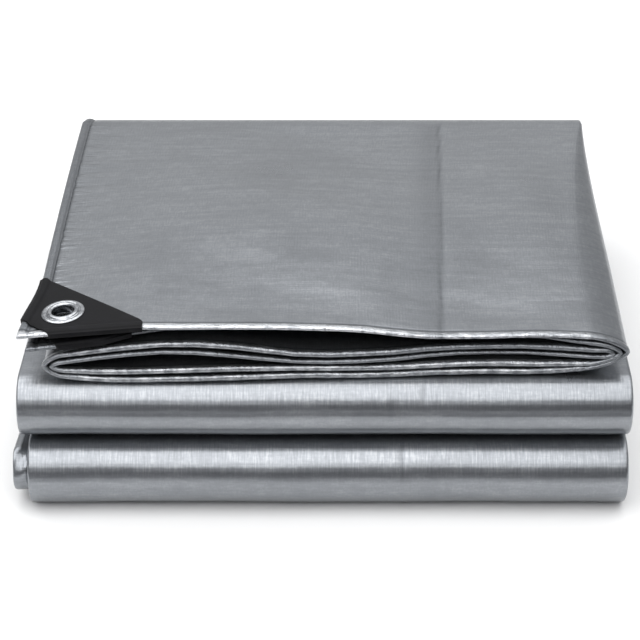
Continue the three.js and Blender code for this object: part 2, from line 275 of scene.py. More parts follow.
# The cloth's middle surface as a grid of stations by columns
layer_of, edge_distance = [], []
for n, layer in enumerate(LAYER_ORDER):
    count = len(row_x(layer, -100, 100))
    from_edge = np.full(count, FAR)
    if layer in FREE_LAYERS:
        from_edge[: len(HEM_STEPS)] = HEM_STEPS
    in_fold = FOLD_STEPS[n - 1] - 1 if n else 0  # columns of the side fold before the layer
    layer_of += [-1] * in_fold + [layer] * count
    edge_distance += [FAR] * in_fold + list(from_edge[:: 1 if n % 2 == 0 else -1])
layer_of, edge_distance = np.array(layer_of), np.array(edge_distance)

gaping_x, gaping_h = gaping_strip()
evens = [even_strip(s["left"], s["right"], s["edge"], s["step"], s["pitch"]) for s in stations]
gape = np.array([s["gape"] for s in stations])[:, None]
cloth_x = mix(np.array([e[0] for e in evens]), gaping_x, gape)
cloth_h = mix(np.array([e[1] for e in evens]), gaping_h, gape)
column = lambda name: np.array([s[name] for s in stations])[:, None]
in_first_run = (np.arange(len(stations)) < first_run_count)[:, None]
EDGE_PULL = 90.0  # a free edge that is drawn to its line takes the cloth with it over this width
for layer, edge_column in zip(FREE_LAYERS, (0, -1)):
    edge_x = cloth_x[:, edge_column][:, None]
    wanted = first_bend["edge"] + layer * first_bend["step"]
    wanted = wanted - CORNER_SPREAD * ease(1 - column("from_end") / CORNER_LONG)
    drawn_in = (wanted - edge_x) * ease(1 - (cloth_x - edge_x) / EDGE_PULL)
    cloth_x = cloth_x + np.where((layer_of == layer) & in_first_run, drawn_in, 0.0)
mid_y, mid_z, lean, turn = column("y"), column("z"), column("lean"), column("turn")
along = np.concatenate([[0], np.cumsum(np.hypot(np.diff(mid_y[:, 0]), np.diff(mid_z[:, 0])))])[:, None]

# At the lower nose the top layer's free edge stands open, out of the grip of the layers round it
FLARE_WIDE, FLARE_FADE = 10.2, 2.6
FLARE_RADIUS = 12.5
FLARE_LONG, FLARE_LONG_FADE = 23.0, 38.0
from_nose = np.abs(along - along[np.flatnonzero(turn[:, 0] == LOWER_NOSE)].mean())
from_edge = cloth_x - column("edge")
CRUMPLE_HIGH, CRUMPLE_ALONG, CRUMPLE_ACROSS = 0.8, 2.9, 2.1
flare = ease(1 - (from_edge - FLARE_WIDE) / FLARE_FADE)
flare = flare * ease(1 - (from_nose - FLARE_LONG) / FLARE_LONG_FADE)
crumple = CRUMPLE_HIGH * np.sin(along / CRUMPLE_ALONG + from_edge / CRUMPLE_ACROSS)
crumple = crumple * ease(lean / 1.2 - 0.8)  # from the nose's front upwards
flared = TURNS[LOWER_NOSE]["bend"] - FLARE_RADIUS + crumple * (turn == LOWER_NOSE)
cloth_h = np.where(layer_of == 0, mix(cloth_h, flared, flare), cloth_h)

# Slack in the top face: long low waves, one crease along the middle fold's old line and one near the front
in_top = (layer_of == 0) & in_first_run
free = within(cloth_x, -120, 150, rise=60, fall=40) * within(mid_y, FRONT_Y, BEND_Y + 3, rise=25, fall=30)
WAVES = [  # height, length and direction of each, and where it starts
    (1.00, 170.0, 0.49, 2.39),
    (0.75, 250.0, 1.75, 2.14),
    (0.16, 58.0, 0.9, 2.4),
    (0.07, 24.0, 1.3, 0.3),
]
slack = np.zeros_like(cloth_x)
for height, length, heading, phase in WAVES:
    run = cloth_x * math.cos(heading) + mid_y * math.sin(heading)
    slack += height * free * np.sin(2 * np.pi * run / length + phase)
DOME_HIGH, DOME_Y, DOME_LONG = 2.2, -25.0, 118.0  # the doubled cloth under it bulges over the whole face
dome = np.cos(np.clip((mid_y - DOME_Y) / DOME_LONG, -1, 1) * np.pi / 2) ** 2
slack += DOME_HIGH * dome * within(cloth_x, -150, 155, rise=110, fall=70)
CREASE_FRONT_X, CREASE_REAR_X, CREASE_WIDE, CREASE_DEEP = 65.0, 77.0, 1.8, 0.42
SWELL_HIGH, SWELL_AWAY, SWELL_WIDE = 0.5 * CREASE_DEEP, 7.0, 5.0  # the cloth beside it swells
LINE_DARK, LINE_WIDE = 0.6, 1.2  # painted shade along it, and fainter painted shade in a band to its left
BAND_DARK, BAND_AWAY, BAND_WIDE = 0.28, 5.0, 9.0
off = cloth_x - mix(CREASE_FRONT_X, CREASE_REAR_X, (mid_y - FRONT_Y) / (BEND_Y - FRONT_Y))
behind_hem = ease((mid_y - FRONT_Y - 2) / 12)
slack -= CREASE_DEEP * bump(off, CREASE_WIDE) * behind_hem
slack += SWELL_HIGH * bump(off - SWELL_AWAY, SWELL_WIDE) * behind_hem
crease_shade = LINE_DARK * bump(off, LINE_WIDE) + BAND_DARK * bump(off + BAND_AWAY, BAND_WIDE) * (off < 0)
CROSS_WIDE, CROSS_DEEP = 1.8, 0.16
CROSS_X, CROSS_FADE = 105.0, 20.0  # it runs to the right from here
CROSS_WANDER, WANDER_LONG = 1.5, 21.0
off = mid_y - FRONT_Y - CROSS_CREASE - CROSS_WANDER * np.sin(cloth_x / WANDER_LONG)
slack -= CROSS_DEEP * bump(off, CROSS_WIDE) * ease((cloth_x - CROSS_X) / CROSS_FADE)
PUCKER_HIGH, PUCKER_REACH = 0.5, 20.0  # the hem draws the cloth beside it into short puckers
PUCKER_STEP, FINE_PUCKER_STEP = 2.6, 1.9
past_hem = np.clip(cloth_x - column("edge") - HEM_WIDE, 0, None)
beside = np.exp(-past_hem / PUCKER_REACH) * (cloth_x > column("edge") + HEM_WIDE)
pucker = np.sin(mid_y / PUCKER_STEP + 2.5 * np.sin(mid_y / 23))
pucker = pucker + 0.6 * np.sin(mid_y / FINE_PUCKER_STEP + cloth_x / 15)
slack += PUCKER_HIGH * pucker * beside * within(mid_y, -75, 110, rise=40, fall=40)
cloth_h = cloth_h + np.where(in_top, slack, 0.0)

# The noses' outer layer is a little uneven, in waves that lie slantwise and differ from nose to nose
NOSE_SLANT, NOSE_SHIFT = 1.7, 2.3
NOSE_WAVES = [  # height, length, and where it starts
    (0.20, 170.0, 0.4),
    (0.08, 67.0, 2.1),
    (0.03, 23.0, 1.2),
]
for n in (MIDDLE_NOSE, LOWER_NOSE):
    uneven = np.zeros_like(cloth_x)
    for height, length, phase in NOSE_WAVES:
        place = 2 * np.pi * cloth_x / length + phase + NOSE_SLANT * lean + NOSE_SHIFT * n
        uneven += height * np.sin(place) * np.sin(lean)
    cloth_h = cloth_h + np.where((layer_of == 5) & (turn == n), uneven, 0.0)

# Short creases over the noses, pressed in by earlier folding: turn, X, depth, and the part of the bend
NOSE_CREASES = [
    dict(turn=MIDDLE_NOSE, x=-92.6, deep=0.35, start=0.1, stop=0.46),
    dict(turn=MIDDLE_NOSE, x=56.3, deep=0.45, start=0.05, stop=0.42),
    dict(turn=MIDDLE_NOSE, x=38.0, deep=0.2, start=0.2, stop=0.55),
    dict(turn=LOWER_NOSE, x=44.8, deep=0.4, start=0.0, stop=0.48),
]
NOSE_CREASE_WIDE = 1.5
NOSE_CREASE_SHADE, NOSE_SHADE_WIDE = 0.5, 0.8  # how dark the painted shade along each is, and how wide
round_nose = 1 - lean / np.pi  # 0 at the top of a nose, 1 underneath
nose_crease_shade = np.zeros_like(cloth_x)
for crease in NOSE_CREASES:
    place = within(round_nose, crease["start"], crease["stop"], rise=0.15, fall=0.15)
    dent = crease["deep"] * bump(cloth_x - crease["x"], NOSE_CREASE_WIDE) * place
    on_nose = (layer_of == 5) & (turn == crease["turn"])
    cloth_h = cloth_h + np.where(on_nose, dent, 0.0)
    nose_crease_shade += NOSE_CREASE_SHADE * bump(cloth_x - crease["x"], NOSE_SHADE_WIDE) * place * on_nose

# The hems of some layers lie a little behind the others at the front, in their shade: how far, and over
# which stretch each one's begins
SET_BACKS = {
    1: dict(back=7.0, start=-122.0, reach=30.0),
    2: dict(back=3.5, start=0.0, reach=70.0),
    3: dict(back=4.5, start=10.0, reach=70.0),
}
SET_BACK_DEPTH = 60.0
SET_BACK_END, SET_BACK_FADE = 152.0, 40.0  # X where they meet the right side folds
near_front = ease(1 - column("from_end") / SET_BACK_DEPTH) * in_first_run
near_front = near_front * ease((SET_BACK_END - cloth_x) / SET_BACK_FADE)
for layer, place in SET_BACKS.items():
    back = place["back"] * ease((cloth_x - place["start"]) / place["reach"]) * near_front
    mid_y = mid_y + np.where(layer_of == layer, back, 0.0)

# The gaping end lies a little askew on the fold under it, set back and lower towards the right
SKEW_START, SKEW_REACH, SKEW_DEPTH = -95.0, 205.0, 130.0
SKEW_BACK, SKEW_DOWN = 6.0, 3.9
askew = ease((cloth_x - SKEW_START) / SKEW_REACH) * ease(1 - column("from_end") / SKEW_DEPTH) * in_first_run
mid_y, mid_z = mid_y + SKEW_BACK * askew, mid_z - SKEW_DOWN * askew

points = np.stack([cloth_x, mid_y + cloth_h * np.sin(lean), mid_z + cloth_h * np.cos(lean)], axis=-1)
tangent_x, tangent_h = np.gradient(cloth_x, axis=1), np.gradient(cloth_h, axis=1)
tangent = np.hypot(tangent_x, tangent_h)
tangent_x, tangent_h = tangent_x / tangent, tangent_h / tangent
normals = np.stack([-tangent_h, tangent_x * np.sin(lean), tangent_x * np.cos(lean)], axis=-1)
acrosses = np.stack([tangent_x, tangent_h * np.sin(lean), tangent_h * np.cos(lean)], axis=-1)


def hem_back(distance):
    """Share of the hem's thickness at a distance from the edge: a flat back and a step down."""
    return 1 - ease((distance - HEM_FLAT) / (HEM_WIDE - HEM_FLAT))


def groove(distance):
    return bump(distance - HEM_WIDE - GROOVE_WIDE / 2, GROOVE_WIDE / 2)


from_end = column("from_end")
is_fold = (layer_of < 0).astype(float)
near_fold = np.convolve(is_fold, np.ones(3), mode="same") > 0
SLIM_X, SLIM_FADE = -85.0, 12.0  # the corners' hems are slim to the left of here
slim = np.maximum(near_fold, np.isin(layer_of, FREE_LAYERS) * ease((SLIM_X - cloth_x) / SLIM_FADE))
RIPPLE_HIGH, RIPPLE_STEP = 0.20, 2.1  # the hems' thickness ripples along them, at the ends also finely
FINE_RIPPLE_HIGH, FINE_RIPPLE_STEP = 0.14, 0.83
SIDE_RIPPLE_HIGH, SIDE_RIPPLE_STEP = 0.12, 2.3
ripple = RIPPLE_HIGH * np.sin(cloth_x / RIPPLE_STEP + 3 * np.sin(cloth_x / 17))
ripple = ripple + FINE_RIPPLE_HIGH * np.sin(cloth_x / FINE_RIPPLE_STEP + layer_of)
end_thick = mix(np.array(END_HEMS)[layer_of] + ripple, SLIM_HEM, slim) - SHEET
side_ripple = SIDE_RIPPLE_HIGH * np.sin(along / SIDE_RIPPLE_STEP + 2 * np.sin(along / 19))
side_thick = SIDE_HEM - SHEET + side_ripple
FLARED_HEM = 0.15  # share of the hem that is left where the free edge stands open
flattened = np.where(turn == LOWER_NOSE, FLARED_HEM, 1.0)
side_thick = side_thick * flattened
nearest = np.minimum(from_end, edge_distance)
lip = np.sqrt(np.clip(1 - (1 - np.clip(nearest / HEM_LIP, 0.01, 1)) ** 2, 0, 1))
swell = np.maximum(hem_back(from_end) * end_thick, hem_back(edge_distance) * side_thick)
grooved = np.maximum(groove(from_end), groove(edge_distance) * flattened)
thickness = (SHEET + swell) * lip - GROOVE_DEEP * grooved
hem_share = np.maximum(hem_back(from_end), hem_back(edge_distance) * flattened)
PAINTED_END_HIGHLIGHT = (0.9, 0.1, 0.3, 0.12, 0.4, 0.4, 0.3)  # how bright a highlight is painted on each layer's end hem: strongest on the top layer, lighter on hems facing an open gap, darker on those in the shade of the layer above
LIGHT_FADE, FADE_X, FADE_LONG = 0.5, -10.0, 80.0  # the painted highlight fades to the right on the upper layers and the folds
faded = np.where(layer_of < 4, LIGHT_FADE * ease((cloth_x - FADE_X) / FADE_LONG), 0.0)
painted_hem_light = np.array(PAINTED_END_HIGHLIGHT)[layer_of] * (1 - faded) * in_first_run * hem_back(from_end)
ROUND_GLINTS, UNDER_GLINTS = 1.0, -0.5  # how strongly the tapes' painted glints show on the upper round of a nose, where its highlight falls, and below it
glint_band_share = mix(UNDER_GLINTS, ROUND_GLINTS, within(round_nose, 0.02, 0.42, rise=0.1, fall=0.1))
shading = dict(  # what the material reads at each point of the cloth
    hem=hem_share,
    painted_hem_highlight=painted_hem_light,
    # the weld grooves and the creases, darkened as painted shade
    groove=np.maximum(grooved, np.where(in_top, crease_shade, nose_crease_shade)),
    painted_glint_band=glint_band_share * (mid_y < 0) * (turn > 0),
    gathered=beside * in_top,
)


def sheet_mesh(name, columns, rows, grow):
    """A closed sheet over the grid's columns and rows, thickened by grow on both faces and pushed out by
    grow at the cloth's own edges. It carries the cloth's flat lengths as its coordinates."""
    at, out = points[rows, columns], normals[rows, columns]
    half = (thickness[rows, columns] / 2 + grow)[..., None]
    side = np.zeros(cloth_x.shape)
    side[:, 0], side[:, -1] = -grow, grow
    end = np.zeros(cloth_x.shape)
    end[0] = -grow
    push = acrosses[rows, columns] * side[rows, columns][..., None]
    push = push + end[rows, columns][..., None] * np.array([0.0, 1.0, 0.0])
    faces_up, faces_down = at + out * half + push, at - out * half + push
    long, wide = at.shape[:2]
    verts = np.concatenate([faces_up.reshape(-1, 3), faces_down.reshape(-1, 3)]) * MM
    index = np.arange(long * wide).reshape(long, wide)
    under = index + long * wide
    quads = [
        np.stack([index[:-1, :-1], index[:-1, 1:], index[1:, 1:], index[1:, :-1]], -1),
        np.stack([under[:-1, :-1], under[1:, :-1], under[1:, 1:], under[:-1, 1:]], -1),
        np.stack([index[0, :-1], under[0, :-1], under[0, 1:], index[0, 1:]], -1),
        np.stack([index[-1, 1:], under[-1, 1:], under[-1, :-1], index[-1, :-1]], -1),
        np.stack([index[1:, 0], under[1:, 0], under[:-1, 0], index[:-1, 0]], -1),
        np.stack([index[:-1, -1], under[:-1, -1], under[1:, -1], index[1:, -1]], -1),
    ]
    faces = np.concatenate([q.reshape(-1, 4) for q in quads])
    mesh = bpy.data.meshes.new(name)
    mesh.from_pydata(verts.tolist(), [], faces.tolist())
    flat = np.stack(np.broadcast_arrays(flat_across[None, :], along), -1)[rows, columns].reshape(-1, 2) * MM
    flat = np.concatenate([flat, flat])
    for attribute, values in shading.items():
        on_points = np.broadcast_to(values, cloth_x.shape)[rows, columns].reshape(-1)
        mesh.attributes.new(attribute, "FLOAT", "POINT").data.foreach_set("value", np.tile(on_points, 2))
    layer = mesh.uv_layers.new(name="flat_cloth")
    layer.data.foreach_set("uv", flat[faces.reshape(-1)].reshape(-1))
    mesh.polygons.foreach_set("use_smooth", np.ones(len(faces), dtype=bool))
    mesh.validate()
    piece = bpy.data.objects.new(name, mesh)
    bpy.context.scene.collection.objects.link(piece)
    return piece


steps_across = np.hypot(np.diff(cloth_x, axis=1), np.diff(cloth_h, axis=1)).mean(axis=0)
flat_across = np.concatenate([[0], np.cumsum(steps_across)])
ALL = slice(None)
cloth = sheet_mesh("cloth", ALL, ALL, 0.0)


def linear(hex_colour):
    """Linear RGBA of an sRGB hex colour."""
    channels = [int(hex_colour[k : k + 2], 16) / 255 for k in (1, 3, 5)]
    return (*(c / 12.92 if c <= 0.04045 else ((c + 0.055) / 1.055) ** 2.4 for c in channels), 1.0)


def add_node(tree, kind, sockets=(), **settings):
    """Adds a node with its settings. A socket's value is a constant or the output that is linked to it."""
    made = tree.nodes.new(kind)
    for name, value in settings.items():
        setattr(made, name, value)
    for name, value in dict(sockets).items():
        if isinstance(value, bpy.types.NodeSocket):
            tree.links.new(value, made.inputs[name])
        else:
            made.inputs[name].default_value = value
    return made


def new_material(name):
    made = bpy.data.materials.new(name)
    made.use_nodes = True
    made.node_tree.nodes.clear()
    return made, made.node_tree


# Silver-laminated polyethylene weave: flat tapes under a thin pigmented film. The film mirrors softly, the
# tapes show as a fine grid,
# each takes the light a little differently, and the hems are crinkled round their cord. Light and shade are
# also painted into the colour:
# glints of the tapes on the upper round of the noses, highlights and sparkles on the end hems, shade in the
# weld grooves and along creases.
TAPE_WIDE = 1.8 * MM
GLINT_WIDE, GLINT_LONG = 0.9 * MM, 7 * MM  # of the tapes' short bright dashes, painted glints
CLOUD, CRINKLE, HEM_CRINKLE = 55 * MM, 7 * MM, 1.2 * MM
RUB_LONG, RUB_WIDE = 48 * MM, 5 * MM  # of the paler marks where folds lay on the face
PUCKER_LONG, PUCKER_WIDE = 24 * MM, 4.5 * MM  # of the small gathers along the side hem
SILVER_DARK, SILVER, SILVER_LIGHT = "#5e6165", "#8e9195", "#c9cbce"

silver, tree = new_material("silver_laminated_weave")
flat_map = add_node(tree, "ShaderNodeUVMap", uv_map="flat_cloth").outputs["UV"]
flat_at = add_node(tree, "ShaderNodeSeparateXYZ", {"Vector": flat_map})
hem = add_node(tree, "ShaderNodeAttribute", attribute_name="hem").outputs["Fac"]
# painted shade, with some dirt, in the weld grooves, and painted shade along the creases of the top face and
# the noses
groove_and_crease_shade = add_node(tree, "ShaderNodeAttribute", attribute_name="groove").outputs["Fac"]
painted_glint_band = add_node(tree, "ShaderNodeAttribute", attribute_name="painted_glint_band").outputs["Fac"]
painted_hem_highlight = add_node(tree, "ShaderNodeAttribute", attribute_name="painted_hem_highlight").outputs["Fac"]
ribs = []
for axis in "XY":
    turns = add_node(
        tree, "ShaderNodeMath", {0: flat_at.outputs[axis], 1: math.pi / TAPE_WIDE}, operation="MULTIPLY"
    )
    rib = add_node(tree, "ShaderNodeMath", {0: turns.outputs[0]}, operation="SINE")
    ribs.append(add_node(tree, "ShaderNodeMath", {0: rib.outputs[0]}, operation="ABSOLUTE").outputs[0])
stretched_marks = []
for wide, long in (
    (GLINT_WIDE, GLINT_LONG),
    (GLINT_LONG, GLINT_WIDE),
    (RUB_LONG, RUB_WIDE),
    (PUCKER_LONG, PUCKER_WIDE),
):
    stretched = add_node(tree, "ShaderNodeMapping", {"Vector": flat_map, "Scale": (1 / wide, 1 / long, 1)})
    mark = add_node(
        tree,
        "ShaderNodeTexNoise",
        {"Vector": stretched.outputs[0], "Scale": 1.0, "Detail": 2.0, "Roughness": 0.6},
    )
    stretched_marks.append(mark.outputs["Fac"])
warp_glints, weft_glints, rubs, puckers = stretched_marks
clouds, crinkles, hem_crinkles = [
    add_node(
        tree,
        "ShaderNodeTexNoise",
        {"Vector": flat_map, "Scale": 1 / size, "Detail": 4.0, "Roughness": 0.55},
    ).outputs["Fac"]
    for size in (CLOUD, CRINKLE, HEM_CRINKLE)
]
# the tapes' marks show faintly in the colour everywhere, strongly as painted glints on the upper round of the
# noses, where their highlight falls, and hardly below it
painted_glint_strength = add_node(
    tree, "ShaderNodeMapRange", {"Value": painted_glint_band, "To Min": 0.18, "To Max": 0.46}, clamp=False
).outputs[0]
# painted sparkle: bright glints painted along the end hems, as strong as their painted highlight
painted_sparkle = add_node(
    tree,
    "ShaderNodeMapRange",
    {"Value": weft_glints, "From Min": 0.38, "From Max": 0.62, "To Min": -0.5, "To Max": 0.5},
).outputs[0]
painted_sparkle = add_node(tree, "ShaderNodeMath", {0: painted_sparkle, 1: painted_hem_highlight}, operation="MULTIPLY").outputs[0]
shade = add_node(tree, "ShaderNodeMath", {0: warp_glints, 1: 0.5}, operation="SUBTRACT").outputs[0]
shade = add_node(tree, "ShaderNodeMath", {0: shade, 1: painted_glint_strength}, operation="MULTIPLY").outputs[0]
TONE_SHARES = (  # how far each lightens the film, or darkens it
    (weft_glints, 0.17),
    (rubs, 0.2),
    (clouds, 0.16),
    (crinkles, 0.12),
    (hem_crinkles, 0.15),
    (groove_and_crease_shade, -0.4),
    (hem, -0.2),
    (painted_hem_highlight, 0.85),
    (painted_sparkle, 1.0),
)
for value, share in TONE_SHARES:
    sockets = {0: value, 1: share, 2: shade}
    shade = add_node(tree, "ShaderNodeMath", sockets, operation="MULTIPLY_ADD").outputs[0]
tone = add_node(tree, "ShaderNodeMapRange", {"Value": shade, "From Min": -0.03, "From Max": 0.83}).outputs[0]
colour = add_node(tree, "ShaderNodeValToRGB", {"Fac": tone})
colour.color_ramp.elements[0].color = linear(SILVER_DARK)
colour.color_ramp.elements[1].color = linear(SILVER_LIGHT)
colour.color_ramp.elements.new(0.5).color = linear(SILVER)
gloss = add_node(
    tree,
    "ShaderNodeMapRange",
    {"Value": clouds, "From Min": 0.3, "From Max": 0.7, "To Min": 0.27, "To Max": 0.34},
).outputs[0]
weave = add_node(tree, "ShaderNodeMath", {0: ribs[0], 1: ribs[1]}, operation="ADD").outputs[0]
hem_height = add_node(tree, "ShaderNodeMath", {0: hem_crinkles, 1: hem}, operation="MULTIPLY").outputs[0]
gathered = add_node(tree, "ShaderNodeAttribute", attribute_name="gathered").outputs["Fac"]
gathers = add_node(tree, "ShaderNodeMath", {0: puckers, 1: gathered}, operation="MULTIPLY").outputs[0]
RELIEFS = (  # and the depth of each in millimetres
    (weave, 0.018),
    (warp_glints, 0.03),
    (crinkles, 0.16),
    (hem_height, 0.6),
    (gathers, 1.3),
)
relief = None
for height, deep in RELIEFS:
    sockets = {"Height": height, "Strength": 1.0, "Distance": deep * MM}
    if relief is not None:
        sockets["Normal"] = relief
    relief = add_node(tree, "ShaderNodeBump", sockets).outputs["Normal"]
film = add_node(
    tree,
    "ShaderNodeBsdfPrincipled",
    {"Base Color": colour.outputs["Color"], "Metallic": 0.92, "Roughness": gloss, "Normal": relief},
)
add_node(tree, "ShaderNodeOutputMaterial", {"Surface": film.outputs["BSDF"]})
cloth.data.materials.append(silver)

# Corner patches: a soft black plastic moulding wrapped round the hem at the sheet's two front corners, on the
# top layer and the one under it, welded to both faces, with two tapering legs and the very corner left bare.
PATCH_GAP, PATCH_WALL = 0.2, 0.9
PATCH_FRONT_LEG, PATCH_SIDE_LEG = 68.0, 59.0
PATCH_FRONT_TIP, PATCH_SIDE_TIP, PATCH_CHAMFER, PATCH_OVER = 6.0, 10.0, 17.0, 5.0
PATCH_ROUND = 2.2
PATCH_EDGE, PATCH_EDGE_ANGLE = 0.35, 50  # edges sharper than this many degrees are rounded
PATCH_LOW, PATCH_HIGH = 80.0, 140.0  # heights between which both corners lie
EYELET_FROM_SIDE, EYELET_FROM_FRONT = 23.5, 20.5
BORE_RADIUS, BORE_HALF, BORE_SIDES = 6.6, 3.2, 64


def prism(name, outline, low, high):
    """Closed upright prism over an outline in millimetres, counter-clockwise."""
    count = len(outline)
    verts = [(x * MM, y * MM, z * MM) for z in (low, high) for x, y in outline]
    faces = [tuple(reversed(range(count))), tuple(range(count, 2 * count))]
    faces += [(k, (k + 1) % count, count + (k + 1) % count, count + k) for k in range(count)]
    mesh = bpy.data.meshes.new(name)
    mesh.from_pydata(verts, [], faces)
    piece = bpy.data.objects.new(name, mesh)
    bpy.context.scene.collection.objects.link(piece)
    return piece


def rounded(outline, radius, steps=6):
    """The outline with an arc of about the given radius in place of each corner."""
    points_round = []
    for k, corner_point in enumerate(outline):
        here = Vector(corner_point)
        before = (Vector(outline[k - 1]) - here).normalized() * radius
        after = (Vector(outline[(k + 1) % len(outline)]) - here).normalized() * radius
        for t in np.linspace(0, 1, steps):
            points_round.append(tuple(here + before * (1 - t) ** 2 + after * t * t))
    return points_round


def cut(piece, cutter, operation="DIFFERENCE", keep_cutter=False):
    """Cuts a piece with a closed cutter, or keeps what they share, and applies the result."""
    modifier = piece.modifiers.new("cut", "BOOLEAN")
    modifier.object, modifier.operation, modifier.solver = cutter, operation, "MANIFOLD"
    graph = bpy.context.evaluated_depsgraph_get()
    mesh = bpy.data.meshes.new_from_object(
        piece.evaluated_get(graph), preserve_all_data_layers=True, depsgraph=graph
    )
    piece.modifiers.clear()
    piece.data = mesh
    if not keep_cutter:
        bpy.data.objects.remove(cutter)


# Moulded soft PVC: black, satin to matt, with the fine grain of its mould and paler scuffs where it is rubbed
GRAIN = 0.9 * MM
SCUFF = 9 * MM
PVC_DARK, PVC, PVC_SCUFFED = "#0e0e10", "#141416", "#1d1d20"

black, tree = new_material("moulded_black_pvc")
place = add_node(tree, "ShaderNodeTexCoord")
grain = add_node(
    tree,
    "ShaderNodeTexNoise",
    {"Vector": place.outputs["Object"], "Scale": 1 / GRAIN, "Detail": 3.0, "Roughness": 0.6},
)
scuff = add_node(
    tree,
    "ShaderNodeTexNoise",
    {"Vector": place.outputs["Object"], "Scale": 1 / SCUFF, "Detail": 5.0, "Roughness": 0.65},
)
tone = add_node(tree, "ShaderNodeValToRGB", {"Fac": scuff.outputs["Fac"]})
tone.color_ramp.elements[0].position, tone.color_ramp.elements[0].color = 0.3, linear(PVC_DARK)
tone.color_ramp.elements[1].position, tone.color_ramp.elements[1].color = 0.75, linear(PVC_SCUFFED)
tone.color_ramp.elements.new(0.52).color = linear(PVC)
dullness = add_node(
    tree,
    "ShaderNodeMapRange",
    {"Value": scuff.outputs["Fac"], "From Min": 0.3, "From Max": 0.7, "To Min": 0.5, "To Max": 0.66},
)
grain_bump = add_node(
    tree, "ShaderNodeBump", {"Height": grain.outputs["Fac"], "Strength": 0.5, "Distance": 0.12 * MM}
)
moulding = add_node(
    tree,
    "ShaderNodeBsdfPrincipled",
    {
        "Base Color": tone.outputs["Color"],
        "Roughness": dullness.outputs[0],
        "Specular IOR Level": 0.12,
        "Normal": grain_bump.outputs["Normal"],
    },
)
add_node(tree, "ShaderNodeOutputMaterial", {"Surface": moulding.outputs["BSDF"]})

PATCH_ROOM = 74.0  # the cloth under a patch lies within this of both edges
column_count = len(layer_of)
near_corner = cloth_x[0] < np.where(layer_of == 0, cloth_x[0, 0], cloth_x[0, -1]) + PATCH_ROOM
upper_end = np.flatnonzero((layer_of == 0) & near_corner)[-1] + 1
lower_start = np.flatnonzero((layer_of == 1) & near_corner)[0]
corner_rows = slice(0, np.flatnonzero(in_first_run[:, 0] & (from_end[:, 0] < PATCH_ROOM))[-1] + 1)
CORNERS = [
    dict(name="upper", columns=slice(0, upper_end), edge=0, inner=len(HEM_STEPS)),
    dict(name="lower", columns=slice(lower_start, column_count), edge=-1, inner=-1 - len(HEM_STEPS)),
]
patches, eyelet_places = [], []
for corner in CORNERS:
    edge_point, inner_point = Vector(points[0, corner["edge"]]), Vector(points[0, corner["inner"]])
    inward = (inner_point - edge_point).normalized()
    axis = inward.cross(Vector((0, 1, 0))).normalized()
    centre = edge_point + inward * EYELET_FROM_SIDE + Vector((0, EYELET_FROM_FRONT, 0))
    turned = Vector((0, 0, 1)).rotation_difference(axis)
    circle = [2 * math.pi * k / BORE_SIDES for k in range(BORE_SIDES)]
    rim = [(BORE_RADIUS * math.cos(a), BORE_RADIUS * math.sin(a)) for a in circle]
    bore = prism("bore", rim, -BORE_HALF, BORE_HALF)
    bore.data.transform(turned.to_matrix().to_4x4())
    bore.data.transform(Matrix.Translation(centre * MM))
    cut(cloth, bore, keep_cutter=True)

    patch = sheet_mesh(f"patch_{corner['name']}", corner["columns"], corner_rows, PATCH_GAP + PATCH_WALL)
    inside = sheet_mesh("inside", corner["columns"], corner_rows, PATCH_GAP)
    reach = PATCH_CHAMFER + PATCH_OVER
    outline = [
        (reach, -PATCH_OVER),
        (PATCH_FRONT_LEG, -PATCH_OVER),
        (PATCH_FRONT_LEG, PATCH_FRONT_TIP),
        (PATCH_SIDE_TIP, PATCH_SIDE_LEG),
        (-PATCH_OVER, PATCH_SIDE_LEG),
        (-PATCH_OVER, reach),
    ]
    outline = [(edge_point.x + x, FRONT_Y + y) for x, y in rounded(outline, PATCH_ROUND)]
    cut(patch, inside)
    cut(patch, prism("outline", outline, PATCH_LOW, PATCH_HIGH), "INTERSECT")
    cut(patch, bore)
    bevel = patch.modifiers.new("rounded_edges", "BEVEL")
    bevel.width, bevel.segments = PATCH_EDGE * MM, 2
    bevel.limit_method, bevel.angle_limit = "ANGLE", math.radians(PATCH_EDGE_ANGLE)
    patch.data.materials.clear()
    patch.data.materials.append(black)
    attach(patch, "root")
    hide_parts(f"corner_patch_{corner['name']}")
    patches.append(patch)
    eyelet_places.append((corner["name"], centre, turned))

# Eyelets: two pressed aluminium parts, a barrel with a flange and a washer, closed on each other through
# patch and cloth so that the barrel's end rolls over the washer.
SEAT = SHEET / 2 + PATCH_GAP + PATCH_WALL
HOLE_RADIUS, ROLL_RADIUS, WASHER_RADIUS = 6.0, 9.0, 12.0
ROLL_HIGH, ROLL_LIFT, WASHER_HIGH, WASHER_EDGE = 1.7, 0.4, 0.9, 0.45
EYELET_SIDES = 96

# Pressed aluminium: bright, with fine turned lines round the hole and the small dents of closing
TURNED_LINE = 0.25 * MM
DENT = 2.5 * MM
ALUMINIUM, ALUMINIUM_DULL = "#b4b6b9", "#8b8d91"

